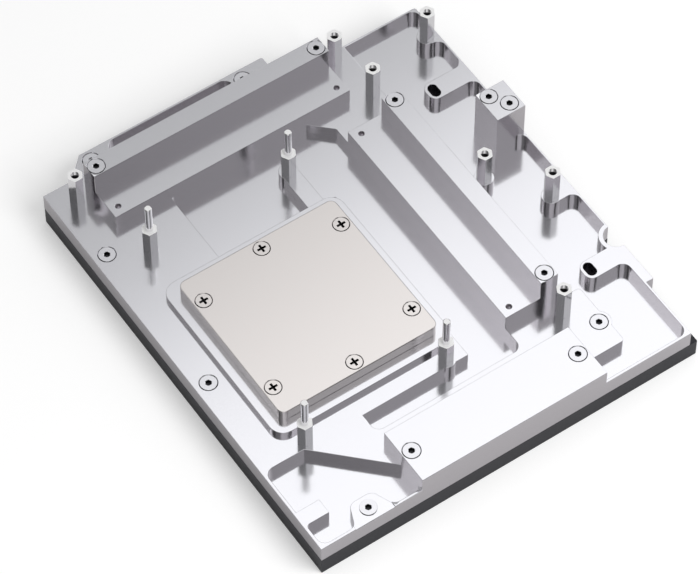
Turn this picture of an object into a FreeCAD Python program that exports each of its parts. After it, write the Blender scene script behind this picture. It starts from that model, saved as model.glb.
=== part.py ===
# Liquid cooling cold plate: a milled aluminium plate with stepped ridges on a dark base plate,
# a nickel-plated block over a finned chamber, standoffs, studs and screws.
# Millimetres. Places are measured from the middle of the base; +X is right, +Y is back, +Z is up.
import FreeCAD
import Part
import Sketcher
import math
import os

Vector = FreeCAD.Vector
UP = Vector(0, 0, 1)

# Driving dimensions
SIZES = [
    # base plate and the levels that the plate is milled to
    ("base_wide", 146.0), ("base_long", 163.2), ("base_thick", 7.5),
    ("rim_thick", 6.7), ("pocket_deep", 4.2), ("plinth_rise", 2.2),
    ("low_rise", 5.9), ("high_rise", 14.3),
    ("lip_left", 1.0), ("lip_front", 1.0), ("lip_right", 0.65), ("lip_back", 0.65),
    # plate outline, with the lug behind it
    ("right_inset", 0.2), ("back_inset", 3.95), ("corner_inset", 3.0), ("corner_inset_long", 24.1),
    ("lug_left_in", 14.0), ("lug_right_short", 14.0), ("lug_reach", 7.6), ("lug_chamfer", 4.6),
    ("edge_round", 1.0),
    # left ridge and right ridge, each a low step with a high one along it
    ("left_ridge_in", 13.1), ("left_ridge_past", 10.35), ("left_ridge_set", 5.2),
    ("left_ridge_wide", 19.2), ("left_ridge_top_wide", 6.95),
    ("right_ridge_in", 30.8), ("right_ridge_wide", 20.15), ("right_ridge_top_wide", 6.7),
    ("right_ridge_front_set", 35.1), ("right_ridge_back_set", 38.3),
    # raised land over the ports, and the tall block at the right edge
    ("land_left_past", 17.0), ("land_right_past", 18.3), ("land_wide", 21.2),
    ("tall_wide", 11.2), ("tall_front", 14.2), ("tall_long", 12.7),
    # studs, and the block that stands between them
    ("stud_middle_in", 45.225), ("stud_middle_y", -0.4), ("stud_span_x", 54.0), ("stud_span_y", 90.0),
    ("block_short", 6.4), ("block_side", 60.4), ("block_corner", 2.5),
    ("block_thick", 4.4), ("boss_deep", 4.4),
    # plinth round the block, and the chamber under it
    ("margin_left", 4.075), ("margin_right", 3.775), ("margin_front", 4.35), ("margin_back", 4.1),
    ("plinth_corner", 5.0), ("window_side", 44.0), ("window_corner", 3.0), ("window_gap", 0.2),
    ("fin_pitch", 2.0), ("fin_thick", 1.0), ("fin_count", 18), ("fin_long", 34.0), ("fin_gap", 0.1),
    ("jet_thick", 0.8), ("jet_slot_long", 32.0), ("jet_slot_wide", 2.0),
    ("drain_slot_long", 30.0), ("drain_slot_wide", 3.0), ("drain_offset", 19.5),
    # channel round the plinth
    ("channel_short", 2.6), ("channel_front_wide", 7.6), ("channel_left_in", 27.45),
    ("channel_back_left_in", 23.35), ("channel_slope", 7.2), ("finger_past", 3.0), ("finger_wide", 6.0),
    ("mill_radius", 3.0), ("small_mill_radius", 1.2),
    # right pocket, its fingers, slots and notch
    ("pocket_left_past", 1.4), ("plateau_past", 14.5), ("plateau_front_in", 10.0), ("plateau_short", 0.5),
    ("thick_lip", 3.8), ("slot_in", 14.85), ("slot_back_in", 36.6), ("slot_front_in", 38.6),
    ("slot_radius", 1.7), ("slot_span", 2.0), ("finger_reach", 17.7),
    ("back_finger_front", 3.7), ("back_finger_back", 3.8), ("front_finger_front", 3.9),
    ("front_finger_back", 3.6), ("middle_finger_half", 3.2), ("bay_short", 3.6), ("bay_past", 3.4),
    ("notch_past", 5.8), ("notch_radius", 4.3), ("notch_wall", 1.6),
    # near left pocket, with its tab and hump, and the lug's pocket
    ("near_pocket_short", 2.7), ("near_slope_past", 2.225), ("tab_right_in", 9.6), ("tab_front_in", 9.9), ("tab_back_in", 15.6),
    ("hump_past", 1.7), ("hump_screw_in", 4.6), ("hump_reach", 4.4), ("hump_half_top", 4.2),
    ("hump_half_foot", 7.5), ("spot_deep", 0.35), ("spot_left_half", 7.7), ("spot_right_half", 7.1),
    ("lug_pocket_left_in", 14.4), ("lug_pocket_right_in", 14.5),
    ("lug_pocket_front_in", 7.3), ("lug_pocket_back_in", 0.8),
    # fluid path in the base
    ("port_x", 18.0), ("port_in", 10.6), ("port_radius", 5.9), ("port_relief", 0.6), ("cavity_deep", 6.0),
    ("channel_wide", 6.0), ("channel_deep", 3.0), ("drain_channel_wide", 3.6),
    # seals
    ("seal_wide", 1.6), ("seal_tall", 1.2), ("block_seal_offset", 1.5), ("seal_side_gap", 0.1),
    ("seal_left_past", 25.225), ("seal_right_past", 8.5), ("seal_front_in", 2.2), ("seal_back_past", 25.8),
    ("seal_shelf_short", 25.7), ("seal_near_past", 9.0), ("seal_corner", 4.0),
    # standoffs and studs
    ("hex_flats", 4.8), ("stud_tall", 10.0), ("standoff_tall", 13.0), ("stem_radius", 1.5),
    ("stem_long", 4.5), ("stem_gap", 0.05), ("stem_hole_extra", 0.5), ("thread_bore", 1.25), ("thread_deep", 10.0),
    ("pin_radius", 1.25), ("pin_long", 11.5), ("standoff_boss", 3.4),
    ("back_left_in", 8.77), ("back_left_set", 7.17), ("back_right_past", 5.57), ("back_right_set", 7.07),
    ("bay_in", 3.83), ("bay_set", 16.37), ("ridge_back_short", 1.43), ("ridge_back_set", 25.57),
    ("middle_past", 8.87), ("middle_y", 6.33), ("finger_in", 7.93), ("finger_y", -12.1),
    ("front_right_short", 1.23), ("front_right_set", 30.03),
    # countersunk screws
    ("head_radius", 2.85), ("head_rim", 0.3), ("shank_radius", 1.5), ("screw_gap", 0.05),
    ("screw_grip", 5.3), ("screw_hole_extra", 0.7), ("socket_flats", 2.0), ("socket_deep", 1.2),
    ("plate_boss", 4.2),
    ("rim_screw_in", 4.9), ("rim_screw_set", 31.5), ("rim_screw_y", -10.2),
    ("plateau_screw_past", 11.9), ("plateau_screw_set", 20.3),
    ("land_screw_in", 3.5), ("land_screw_set", 11.1), ("ridge_screw_in", 2.9),
    ("tall_screw_1_in", 7.9), ("tall_screw_1_set", 9.8), ("tall_screw_2_in", 3.8), ("tall_screw_2_set", 3.8),
    ("lug_screw_left_in", 7.0), ("lug_screw_right_in", 10.4), ("lug_screw_set", 4.1),
    # block screws
    ("block_head_radius", 2.65), ("block_screw_long", 10.0), ("block_screw_side", 26.6),
    ("block_screw_row", 20.08), ("cross_wide", 0.8), ("cross_span", 3.2), ("cross_deep", 1.2),
    # small holes in the low steps
    ("pin_hole_radius", 1.0), ("pin_hole_deep", 4.0), ("pin_hole_in", 3.1), ("pin_hole_set", 3.4),
]


class Size:
    """A length as a number, with the sheet's words that bind it."""

    def __init__(self, number, words):
        self.number = number
        self.words = words

    def joined(self, sign, other, number):
        words = other.words if isinstance(other, Size) else str(other)
        return Size(number, "(%s %s %s)" % (self.words, sign, words))

    def __add__(self, other):
        return self.joined("+", other, self.number + number_of(other))

    def __sub__(self, other):
        return self.joined("-", other, self.number - number_of(other))

    def __mul__(self, other):
        return self.joined("*", other, self.number * number_of(other))

    def __truediv__(self, other):
        return self.joined("/", other, self.number / number_of(other))

    def __neg__(self):
        return Size(-self.number, "(0 - %s)" % self.words)


def number_of(value):
    return value.number if isinstance(value, Size) else value


document = FreeCAD.newDocument("cold_plate")
sheet = document.addObject("Spreadsheet::Sheet", "Sizes")
size = {}
for row, (name, number) in enumerate(SIZES, start=1):
    sheet.set("A%d" % row, name)
    sheet.set("B%d" % row, str(number))
    sheet.setAlias("B%d" % row, name)
    size[name] = Size(number, "Sizes." + name)
document.recompute()

zero = Size(0.0, "0")
finished = {}


# Sketch and feature helpers

def new_body(name):
    body = document.addObject("PartDesign::Body", name)
    body.Label = name
    return body


def finish(node):
    """Keep a piece, moved so that the origin lies at the middle of the whole outline."""
    node.setExpression("Placement.Base.y", (-(size["lug_reach"] / 2)).words)
    finished[node.Label] = node


def sketch_on(body, name, level, plane="XY_Plane"):
    sketch = body.newObject("Sketcher::SketchObject", name)
    planes = {feature.Role: feature for feature in body.Origin.OriginFeatures}
    sketch.AttachmentSupport = [(planes[plane], "")]
    sketch.MapMode = "FlatFace"
    sketch.setExpression("AttachmentOffset.Base.z", level.words)
    return sketch


def held(kind, geometry, point, value):
    """The rule that holds one coordinate of a point at a size."""
    return (Sketcher.Constraint(kind, -1, 1, geometry, point, value.number), value.words)


def held_point(geometry, point, x, y):
    return [held("DistanceX", geometry, point, x), held("DistanceY", geometry, point, y)]


def held_radius(geometry, radius):
    return [(Sketcher.Constraint("Radius", geometry, radius.number), radius.words)]


def free(kind, *places):
    """A rule with no size of its own, such as a tangent."""
    return (Sketcher.Constraint(kind, *places), None)


def settle(sketch, rules):
    """Give a sketch its rules in one go, then bind those that have a size."""
    first = sketch.ConstraintCount
    sketch.addConstraint([rule for rule, words in rules])
    for offset, (rule, words) in enumerate(rules):
        if words is not None:
            sketch.setExpression("Constraints[%d]" % (first + offset), words)


def held_place(geometry, point, place):
    return held_point(geometry, point, place[0], place[1])


def vector_of(place):
    return Vector(place[0].number, place[1].number, 0)


def moved(place, direction, length, share):
    """A place moved along a direction by a share of a length."""
    across = length * round(direction.x * share, 9)
    along = length * round(direction.y * share, 9)
    return (place[0] + across, place[1] + along)


def corner_arc(sketch, centre, entry, leaving, radius):
    """A corner's arc, drawn anticlockwise, and which of its ends the outline comes in by."""
    arrival = vector_of(entry) - centre
    departure = vector_of(leaving) - centre
    came = math.atan2(arrival.y, arrival.x)
    left = math.atan2(departure.y, departure.x)
    circle_of_corner = Part.Circle(centre, UP, radius.number)
    if (left - came) % (2 * math.pi) < math.pi:
        return sketch.addGeometry(Part.ArcOfCircle(circle_of_corner, came, left)), 1
    return sketch.addGeometry(Part.ArcOfCircle(circle_of_corner, left, came)), 2


def outline(sketch, corners):
    """Close an outline through corners given as x, y and, where the corner is round, its radius."""
    count = len(corners)
    points = [vector_of(corner) for corner in corners]
    entries = []
    exits = []
    centres = []
    for index, corner in enumerate(corners):
        if len(corner) == 2:
            entries.append(corner)
            exits.append(corner)
            centres.append(None)
            continue
        radius = corner[2]
        back = (points[index - 1] - points[index]).normalize()
        ahead = (points[(index + 1) % count] - points[index]).normalize()
        half_turn = back.getAngle(ahead) / 2
        entries.append(moved(corner, back, radius, 1 / math.tan(half_turn)))
        exits.append(moved(corner, ahead, radius, 1 / math.tan(half_turn)))
        bisector = (back + ahead).normalize()
        centres.append(points[index] + bisector * (radius.number / math.sin(half_turn)))
    lines = []
    for index in range(count):
        arrival = entries[(index + 1) % count]
        lines.append(sketch.addGeometry(Part.LineSegment(vector_of(exits[index]), vector_of(arrival))))
    rules = []
    for index, corner in enumerate(corners):
        before = lines[index - 1]
        after = lines[index]
        rules += held_place(after, 1, exits[index])
        if centres[index] is None:
            rules.append(free("Coincident", before, 2, after, 1))
            continue
        rules += held_place(before, 2, entries[index])
        arc, first = corner_arc(sketch, centres[index], entries[index], exits[index], corner[2])
        rules.append(free("Coincident", before, 2, arc, first))
        rules.append(free("Coincident", after, 1, arc, 3 - first))
        rules += held_radius(arc, corner[2])
    settle(sketch, rules)


def rectangle(sketch, left, right, front, back, radius=None):
    places = [(left, front), (right, front), (right, back), (left, back)]
    outline(sketch, [place if radius is None else place + (radius,) for place in places])


def square(sketch, side, corner, x, y):
    half = side / 2
    rectangle(sketch, x - half, x + half, y - half, y + half, corner)


def circle(sketch, x, y, radius):
    ring = sketch.addGeometry(Part.Circle(Vector(x.number, y.number, 0), UP, radius.number))
    settle(sketch, held_point(ring, 3, x, y) + held_radius(ring, radius))


def obround(sketch, first, second, radius):
    """A slot with round ends about two centres."""
    start = Vector(first[0].number, first[1].number, 0)
    end = Vector(second[0].number, second[1].number, 0)
    along = (end - start).normalize()
    side = Vector(-along.y, along.x, 0) * radius.number
    heading = math.atan2(along.y, along.x)
    quarter = math.pi / 2
    near = sketch.addGeometry(Part.ArcOfCircle(
        Part.Circle(start, UP, radius.number), heading + quarter, heading + 3 * quarter))
    far = sketch.addGeometry(Part.ArcOfCircle(
        Part.Circle(end, UP, radius.number), heading - quarter, heading + quarter))
    right = sketch.addGeometry(Part.LineSegment(start - side, end - side))
    left = sketch.addGeometry(Part.LineSegment(end + side, start + side))
    rules = [
        free("Tangent", right, 1, near, 2), free("Tangent", right, 2, far, 1),
        free("Tangent", left, 1, far, 2), free("Tangent", left, 2, near, 1),
    ]
    rules += held_point(near, 3, first[0], first[1])
    rules += held_point(far, 3, second[0], second[1])
    settle(sketch, rules + held_radius(near, radius))


def hexagon(sketch, x, y, flats):
    """A hexagon with two corners on the X direction."""
    corners = []
    for step in range(6):
        angle = math.radians(60 * step)
        corners.append(moved((x, y), Vector(math.cos(angle), math.sin(angle), 0), flats, 1 / math.sqrt(3)))
    outline(sketch, corners)


def check(feature):
    document.recompute()
    if "Invalid" in feature.State or "Error" in feature.State:
        raise ValueError("%s failed" % feature.Label)


def pad(body, sketch, length, downward=False):
    feature = body.newObject("PartDesign::Pad", sketch.Name + "_pad")
    feature.Profile = sketch
    feature.setExpression("Length", length.words)
    feature.Reversed = downward
    check(feature)
    return feature


def pocket(body, sketch, depth, upward=False):
    """Cut a sketch down from its level, or up where it lies on an underside."""
    before = body.Shape.Volume
    feature = body.newObject("PartDesign::Pocket", sketch.Name + "_pocket")
    feature.Profile = sketch
    feature.setExpression("Length", depth.words)
    feature.Reversed = upward
    check(feature)
    if feature.Shape.Volume >= before:
        raise ValueError("%s cuts nothing" % feature.Label)
    return feature


def turned(body, name, profile):
    """Revolve a half profile, given as radius and height, about the vertical axis."""
    sketch = sketch_on(body, name, zero, "XZ_Plane")
    outline(sketch, profile)
    feature = body.newObject("PartDesign::Revolution", name + "_turned")
    feature.Profile = sketch
    feature.ReferenceAxis = (sketch, ["V_Axis"])
    feature.Angle = 360
    check(feature)


def countersinks(body, name, level, places, head_radius):
    """Drill through at each place, with a cone that seats a flush screw head."""
    sketch = sketch_on(body, name, level)
    for x, y in places:
        circle(sketch, x, y, size["shank_radius"] + size["screw_gap"])
    document.recompute()
    before = body.Shape.Volume
    hole = body.newObject("PartDesign::Hole", name + "_holes")
    hole.Profile = sketch
    hole.Threaded = False
    hole.ThreadType = 0
    hole.DepthType = "ThroughAll"
    hole.HoleCutType = "Countersink"
    hole.HoleCutCustomValues = True
    hole.HoleCutCountersinkAngle = 90
    hole.setExpression("Diameter", ((size["shank_radius"] + size["screw_gap"]) * 2).words)
    cone_radius = head_radius + size["head_rim"] + size["screw_gap"]
    hole.setExpression("HoleCutDiameter", (cone_radius * 2).words)
    check(hole)
    if hole.Shape.Volume >= before:
        raise ValueError("%s cuts nothing" % name)


def mid(first, second):
    return (first + second) / 2


# Levels
rim_level = size["base_thick"] + size["rim_thick"]
floor_level = rim_level - size["pocket_deep"]
plinth_level = rim_level + size["plinth_rise"]
low_level = rim_level + size["low_rise"]
high_level = rim_level + size["high_rise"]
block_level = plinth_level + size["block_thick"]

# Edges of the base and the plate
base_right = size["base_wide"] / 2
base_left = -base_right
base_back = size["base_long"] / 2
base_front = -base_back
plate_right = base_right - size["right_inset"]
plate_back = base_back - size["back_inset"]
pocket_left = base_left + size["lip_left"]
pocket_right = plate_right - size["lip_right"]
pocket_back = plate_back - size["lip_back"]
pocket_front = base_front + size["lip_front"]
pocket_near_right = base_right - size["thick_lip"]

# Edges of what stands on the plate
right_ridge_right = plate_right - size["right_ridge_in"]
right_ridge_left = right_ridge_right - size["right_ridge_wide"]
right_ridge_step = right_ridge_right - size["right_ridge_top_wide"]
right_ridge_front = base_front + size["right_ridge_front_set"]
right_ridge_back = base_back - size["right_ridge_back_set"]
left_ridge_start = base_left + size["left_ridge_in"]
left_ridge_end = right_ridge_left + size["left_ridge_past"]
left_ridge_back = base_back - size["left_ridge_set"]
left_ridge_front = left_ridge_back - size["left_ridge_wide"]
left_ridge_step = left_ridge_back - size["left_ridge_top_wide"]
land_left = -size["port_x"] - size["land_left_past"]
land_right = size["port_x"] + size["land_right_past"]
land_back = base_front + size["land_wide"]
tall_left = plate_right - size["tall_wide"]
tall_back = size["tall_front"] + size["tall_long"]
lug_left = base_left + size["lug_left_in"]
lug_right = left_ridge_end - size["lug_right_short"]
lug_back = base_back + size["lug_reach"]
port_y = base_front + size["port_in"]
slot_back = base_back - size["slot_back_in"]
slot_front = base_front + size["slot_front_in"]
notch_y = slot_front + size["notch_past"]

# The stud pattern, the block in it and the plinth under the block
stud_middle = base_left + size["stud_middle_in"]
stud_left = stud_middle - size["stud_span_x"] / 2
stud_right = stud_middle + size["stud_span_x"] / 2
stud_front = size["stud_middle_y"] - size["stud_span_y"] / 2
stud_back = size["stud_middle_y"] + size["stud_span_y"] / 2
block_x = stud_middle
block_y = size["stud_middle_y"] - size["block_short"]
block_half = size["block_side"] / 2
plinth_left = block_x - block_half - size["margin_left"]
plinth_right = block_x + block_half + size["margin_right"]
plinth_front = block_y - block_half - size["margin_front"]
plinth_back = block_y + block_half + size["margin_back"]
drain_x = block_x + size["drain_offset"]

# Where the fasteners stand
STUDS = {
    "stud_back_left": (stud_left, stud_back),
    "stud_back_right": (stud_right, stud_back),
    "stud_front_right": (stud_right, stud_front),
    "stud_front_left": (stud_left, stud_front),
}
bay_x = plate_right - size["bay_in"]
bay_y = base_back - size["bay_set"]
middle_x = right_ridge_right + size["middle_past"]
finger_x = plate_right - size["finger_in"]
STANDOFFS = {
    "standoff_back_left": (base_left + size["back_left_in"], base_back - size["back_left_set"]),
    "standoff_back_right": (left_ridge_end + size["back_right_past"], base_back - size["back_right_set"]),
    "standoff_bay": (bay_x, bay_y),
    "standoff_ridge_back": (right_ridge_right - size["ridge_back_short"], base_back - size["ridge_back_set"]),
    "standoff_middle": (middle_x, size["middle_y"]),
    "standoff_finger": (finger_x, size["finger_y"]),
    "standoff_front_right": (
        right_ridge_right - size["front_right_short"], base_front + size["front_right_set"]),
}
hump_x = mid(base_left, land_left) + size["hump_past"]
hump_y = base_front + size["hump_screw_in"]
plateau_x = land_right + size["plateau_screw_past"]
plateau_y = base_front + size["plateau_screw_set"]
rim_screw_x = base_left + size["rim_screw_in"]
lug_screw_y = lug_back - size["lug_screw_set"]
land_screw_y = base_front + size["land_screw_set"]
left_ridge_screw_y = mid(left_ridge_step, left_ridge_back)
right_ridge_screw_x = mid(right_ridge_step, right_ridge_right)
RIM_SCREWS = [
    (rim_screw_x, base_back - size["rim_screw_set"]), (rim_screw_x, size["rim_screw_y"]),
    (hump_x, hump_y), (plateau_x, plateau_y),
    (lug_left + size["lug_screw_left_in"], lug_screw_y),
    (lug_right - size["lug_screw_right_in"], lug_screw_y),
]
LAND_SCREWS = [
    (land_left + size["land_screw_in"], land_screw_y), (land_right - size["land_screw_in"], land_screw_y),
]
HIGH_SCREWS = [
    (left_ridge_start + size["ridge_screw_in"], left_ridge_screw_y),
    (left_ridge_end - size["ridge_screw_in"], left_ridge_screw_y),
    (right_ridge_screw_x, right_ridge_back - size["ridge_screw_in"]),
    (right_ridge_screw_x, right_ridge_front + size["ridge_screw_in"]),
    (plate_right - size["tall_screw_1_in"], size["tall_front"] + size["tall_screw_1_set"]),
    (plate_right - size["tall_screw_2_in"], size["tall_front"] + size["tall_screw_2_set"]),
]
BLOCK_SCREWS = []
for side in (1, -1):
    across = size["block_screw_side"] * side
    along = size["block_screw_row"] * side
    BLOCK_SCREWS.append((block_x, block_y + across))
    for end in (1, -1):
        BLOCK_SCREWS.append((block_x + size["block_screw_side"] * end, block_y + along))


# Base plate

def plate_edge(corner_inset, right_edge):
    """Corners of the outline that the base and the plate share, from the front left."""
    corners = [(base_left, base_front)]
    if corner_inset is None:
        corners.append((right_edge, base_front))
    else:
        step_back = base_front + size["corner_inset_long"]
        corners.append((base_right - corner_inset, base_front))
        corners.append((base_right - corner_inset, step_back))
        corners.append((right_edge, step_back))
    corners.append((right_edge, plate_back, size["edge_round"]))
    corners.append((lug_right, plate_back))
    corners.append((lug_right, lug_back, size["edge_round"]))
    corners.append((lug_left + size["lug_chamfer"], lug_back))
    corners.append((lug_left, lug_back - size["lug_chamfer"]))
    corners.append((lug_left, base_back))
    corners.append((base_left, base_back))
    return corners


def seal_path(inward):
    """Corners of the channel seal's loop, moved in or out from its middle line."""
    left = block_x - size["seal_left_past"] + inward
    right = size["port_x"] + size["seal_right_past"] - inward
    front = base_front + size["seal_front_in"] + inward
    back = block_y + size["seal_back_past"] - inward
    shelf = block_y - size["seal_shelf_short"] + inward
    near_left = -size["port_x"] - size["seal_near_past"] + inward
    outer = size["seal_corner"] - inward
    inner = size["seal_corner"] + inward
    return [
        (near_left, front, outer), (right, front, outer), (right, back, outer),
        (left, back, outer), (left, shelf, outer), (near_left, shelf, inner),
    ]


def base_plate():
    body = new_body("base_plate")
    top = size["base_thick"]
    blank = sketch_on(body, "base_outline", zero)
    outline(blank, plate_edge(None, base_right))
    pad(body, blank, top)

    ports = sketch_on(body, "base_ports", top)
    for x in (-size["port_x"], size["port_x"]):
        circle(ports, x, port_y, size["port_radius"])
    pocket(body, ports, top)

    notch = sketch_on(body, "base_notch", top)
    circle(notch, plate_right, notch_y, size["notch_radius"])
    pocket(body, notch, top)

    half = size["channel_wide"] / 2
    inflow = sketch_on(body, "base_inflow", top)
    obround(inflow, (-size["port_x"], port_y), (-size["port_x"], block_y), half)
    pocket(body, inflow, size["channel_deep"])
    plenum = sketch_on(body, "base_plenum", top)
    reach = size["jet_slot_long"] / 2 - half
    obround(plenum, (block_x - reach, block_y), (block_x + reach, block_y), half)
    pocket(body, plenum, size["channel_deep"])

    outflow = sketch_on(body, "base_outflow", top)
    obround(outflow, (size["port_x"], port_y), (size["port_x"], block_y), half)
    pocket(body, outflow, size["channel_deep"])
    crossing = sketch_on(body, "base_crossing", top)
    obround(crossing, (drain_x, block_y), (size["port_x"], block_y), size["drain_channel_wide"] / 2)
    pocket(body, crossing, size["channel_deep"])
    drain = sketch_on(body, "base_drain", top)
    drain_half = size["drain_channel_wide"] / 2
    drain_reach = size["drain_slot_long"] / 2 - drain_half
    obround(drain, (drain_x, block_y - drain_reach), (drain_x, block_y + drain_reach), drain_half)
    pocket(body, drain, size["channel_deep"])

    groove = sketch_on(body, "base_groove", top)
    groove_half = size["seal_wide"] / 2 + size["seal_side_gap"]
    outline(groove, seal_path(-groove_half))
    outline(groove, seal_path(groove_half))
    pocket(body, groove, size["seal_tall"])

    threads = sketch_on(body, "base_screw_holes", top)
    for x, y in RIM_SCREWS + LAND_SCREWS + HIGH_SCREWS:
        circle(threads, x, y, size["shank_radius"] + size["screw_gap"])
    pocket(body, threads, size["screw_grip"] + size["screw_hole_extra"])
    finish(body)


def channel_seal():
    body = new_body("channel_seal")
    loop = sketch_on(body, "channel_loop", size["base_thick"])
    outline(loop, seal_path(-(size["seal_wide"] / 2)))
    outline(loop, seal_path(size["seal_wide"] / 2))
    pad(body, loop, size["seal_tall"], downward=True)
    finish(body)


# Milled plate

def channel_pocket(body):
    """The channel that runs round the plinth and on to the left ridge."""
    mill = size["mill_radius"]
    shelf = stud_front - size["channel_short"]
    front = shelf - size["channel_front_wide"]
    left = plinth_left + size["channel_left_in"]
    back_left = plinth_left + size["channel_back_left_in"]
    finger_left = stud_right - size["finger_past"]
    finger_right = finger_left + size["finger_wide"]
    sketch = sketch_on(body, "channel", rim_level)
    outline(sketch, [
        (plinth_right, shelf), (plinth_right, plinth_back), (finger_right, plinth_back),
        (finger_right, stud_back), (finger_left, stud_back), (finger_left, plinth_back),
        (back_left, plinth_back), (back_left, left_ridge_front, size["small_mill_radius"]),
        (right_ridge_left - size["channel_slope"], left_ridge_front),
        (right_ridge_left, left_ridge_front - size["channel_slope"]),
        (right_ridge_left, front, mill), (left, front, mill), (left, shelf),
    ])
    pocket(body, sketch, size["pocket_deep"])


def near_pocket(body):
    """The near left pocket, with a tab from the edge and a hump round its screw."""
    mill = size["mill_radius"]
    back = stud_front - size["near_pocket_short"]
    slope_start = stud_left - size["near_slope_past"]
    slope_end = back + slope_start - land_left
    tab_right = base_left + size["tab_right_in"]
    tab_front = base_front + size["tab_front_in"]
    tab_back = base_front + size["tab_back_in"]
    hump_top = hump_y + size["hump_reach"]
    sketch = sketch_on(body, "near_pocket", rim_level)
    outline(sketch, [
        (pocket_left, back, mill), (pocket_left, tab_back), (tab_right, tab_back), (tab_right, tab_front),
        (pocket_left, tab_front, size["small_mill_radius"]), (pocket_left, pocket_front, mill),
        (hump_x - size["hump_half_foot"], pocket_front, mill),
        (hump_x - size["hump_half_top"], hump_top, mill),
        (hump_x + size["hump_half_top"], hump_top, mill),
        (hump_x + size["hump_half_foot"], pocket_front, mill),
        (land_left, pocket_front, size["small_mill_radius"]), (land_left, slope_end), (slope_start, back),
    ])
    pocket(body, sketch, size["pocket_deep"])


def right_pocket(body):
    """The long right pocket, with the fingers that carry slots, standoffs and the bay."""
    mill = size["mill_radius"]
    small = size["small_mill_radius"]
    finger_end = plate_right - size["finger_reach"]
    front_finger_front = slot_front - size["front_finger_front"]
    front_finger_back = slot_front + size["front_finger_back"]
    middle_finger_front = size["finger_y"] - size["middle_finger_half"]
    middle_finger_back = size["finger_y"] + size["middle_finger_half"]
    back_finger_front = slot_back - size["back_finger_front"]
    back_finger_back = slot_back + size["back_finger_back"]
    bay_front = bay_y - size["bay_short"]
    bay_back = bay_y + size["bay_past"]
    pocket_back_left = right_ridge_right + size["pocket_left_past"]
    plateau_right = land_right + size["plateau_past"]
    plateau_front = base_front + size["plateau_front_in"]
    plateau_back = right_ridge_front - size["plateau_short"]
    sketch = sketch_on(body, "right_pocket", rim_level)
    outline(sketch, [
        (land_right, pocket_front), (pocket_near_right, pocket_front, mill),
        (pocket_near_right, front_finger_front, mill), (finger_end, front_finger_front, mill),
        (finger_end, front_finger_back, mill), (pocket_right, front_finger_back),
        (pocket_right, middle_finger_front, mill), (finger_x, middle_finger_front),
        (finger_x, middle_finger_back), (pocket_right, middle_finger_back, mill),
        (pocket_right, size["tall_front"], mill), (tall_left, size["tall_front"]),
        (tall_left, tall_back), (pocket_right, tall_back, mill),
        (pocket_right, back_finger_front, mill), (finger_end, back_finger_front, mill),
        (finger_end, back_finger_back, mill), (pocket_right, back_finger_back, mill),
        (pocket_right, bay_front, mill), (bay_x, bay_front), (bay_x, bay_back),
        (pocket_right, bay_back, small), (pocket_right, pocket_back, mill),
        (pocket_back_left, pocket_back), (pocket_back_left, right_ridge_back),
        (right_ridge_right, right_ridge_back), (right_ridge_right, plateau_back),
        (plateau_right, plateau_back, small), (plateau_right, plateau_front, small),
        (land_right, plateau_front),
    ])
    pocket(body, sketch, size["pocket_deep"])


def lug_pocket(body):
    left = lug_left + size["lug_pocket_left_in"]
    right = lug_right - size["lug_pocket_right_in"]
    front = lug_back - size["lug_pocket_front_in"]
    back = lug_back - size["lug_pocket_back_in"]
    half = (back - front) / 2
    sketch = sketch_on(body, "lug_pocket", rim_level)
    obround(sketch, (left + half, mid(front, back)), (right - half, mid(front, back)), half)
    pocket(body, sketch, size["pocket_deep"])


def plate_bosses(body):
    """Round bosses that stand in the pockets at rim level, and the wall round the notch."""
    boss = size["standoff_boss"]
    bosses = [
        (stud_right, stud_back, boss), (stud_right, stud_front, boss), (stud_left, stud_front, boss),
        (bay_x, bay_y, boss), (middle_x, size["middle_y"], boss),
        (finger_x, size["finger_y"], boss), (plateau_x, plateau_y, size["plate_boss"]),
    ]
    rounds = sketch_on(body, "bosses", floor_level)
    for x, y, radius in bosses:
        circle(rounds, x, y, radius)
    pad(body, rounds, size["pocket_deep"])

    wall = sketch_on(body, "notch_wall", floor_level)
    radius = size["notch_radius"] + size["notch_wall"]
    centre = Vector(plate_right.number, notch_y.number, 0)
    arc = wall.addGeometry(Part.ArcOfCircle(
        Part.Circle(centre, UP, radius.number), math.pi / 2, 3 * math.pi / 2))
    top = centre + Vector(0, radius.number, 0)
    bottom = centre - Vector(0, radius.number, 0)
    chord = wall.addGeometry(Part.LineSegment(bottom, top))
    rules = [free("Coincident", arc, 1, chord, 2), free("Coincident", arc, 2, chord, 1),
             free("PointOnObject", arc, 3, chord), free("Vertical", chord)]
    rules += held_point(arc, 3, plate_right, notch_y)
    settle(wall, rules + held_radius(arc, radius))
    pad(body, wall, size["pocket_deep"])


def plate_steps(body):
    """The plinth, the low steps and the high steps, each milled to its own level."""
    low = sketch_on(body, "low_steps", floor_level)
    rectangle(low, left_ridge_start, left_ridge_end,
              left_ridge_front, left_ridge_back)
    rectangle(low, right_ridge_left, right_ridge_right,
              right_ridge_front, right_ridge_back)
    rectangle(low, land_left, land_right, base_front, land_back)
    pad(body, low, size["pocket_deep"] + size["low_rise"])

    high = sketch_on(body, "high_steps", floor_level)
    rectangle(high, left_ridge_start, left_ridge_end,
              left_ridge_step, left_ridge_back)
    rectangle(high, right_ridge_step, right_ridge_right,
              right_ridge_front, right_ridge_back)
    rectangle(high, tall_left, plate_right, size["tall_front"], tall_back)
    pad(body, high, size["pocket_deep"] + size["high_rise"])

    plinth = sketch_on(body, "plinth", rim_level)
    rectangle(plinth, plinth_left, plinth_right,
              plinth_front, plinth_back, size["plinth_corner"])
    pad(body, plinth, size["plinth_rise"])


def block_ring(sketch, outward):
    """The block seal's loop round the chamber, moved out from its inner edge."""
    half_in = size["block_seal_offset"] - size["seal_wide"] / 2 + outward
    square(sketch, size["window_side"] + half_in * 2, size["window_corner"] + half_in,
           block_x, block_y)


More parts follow.
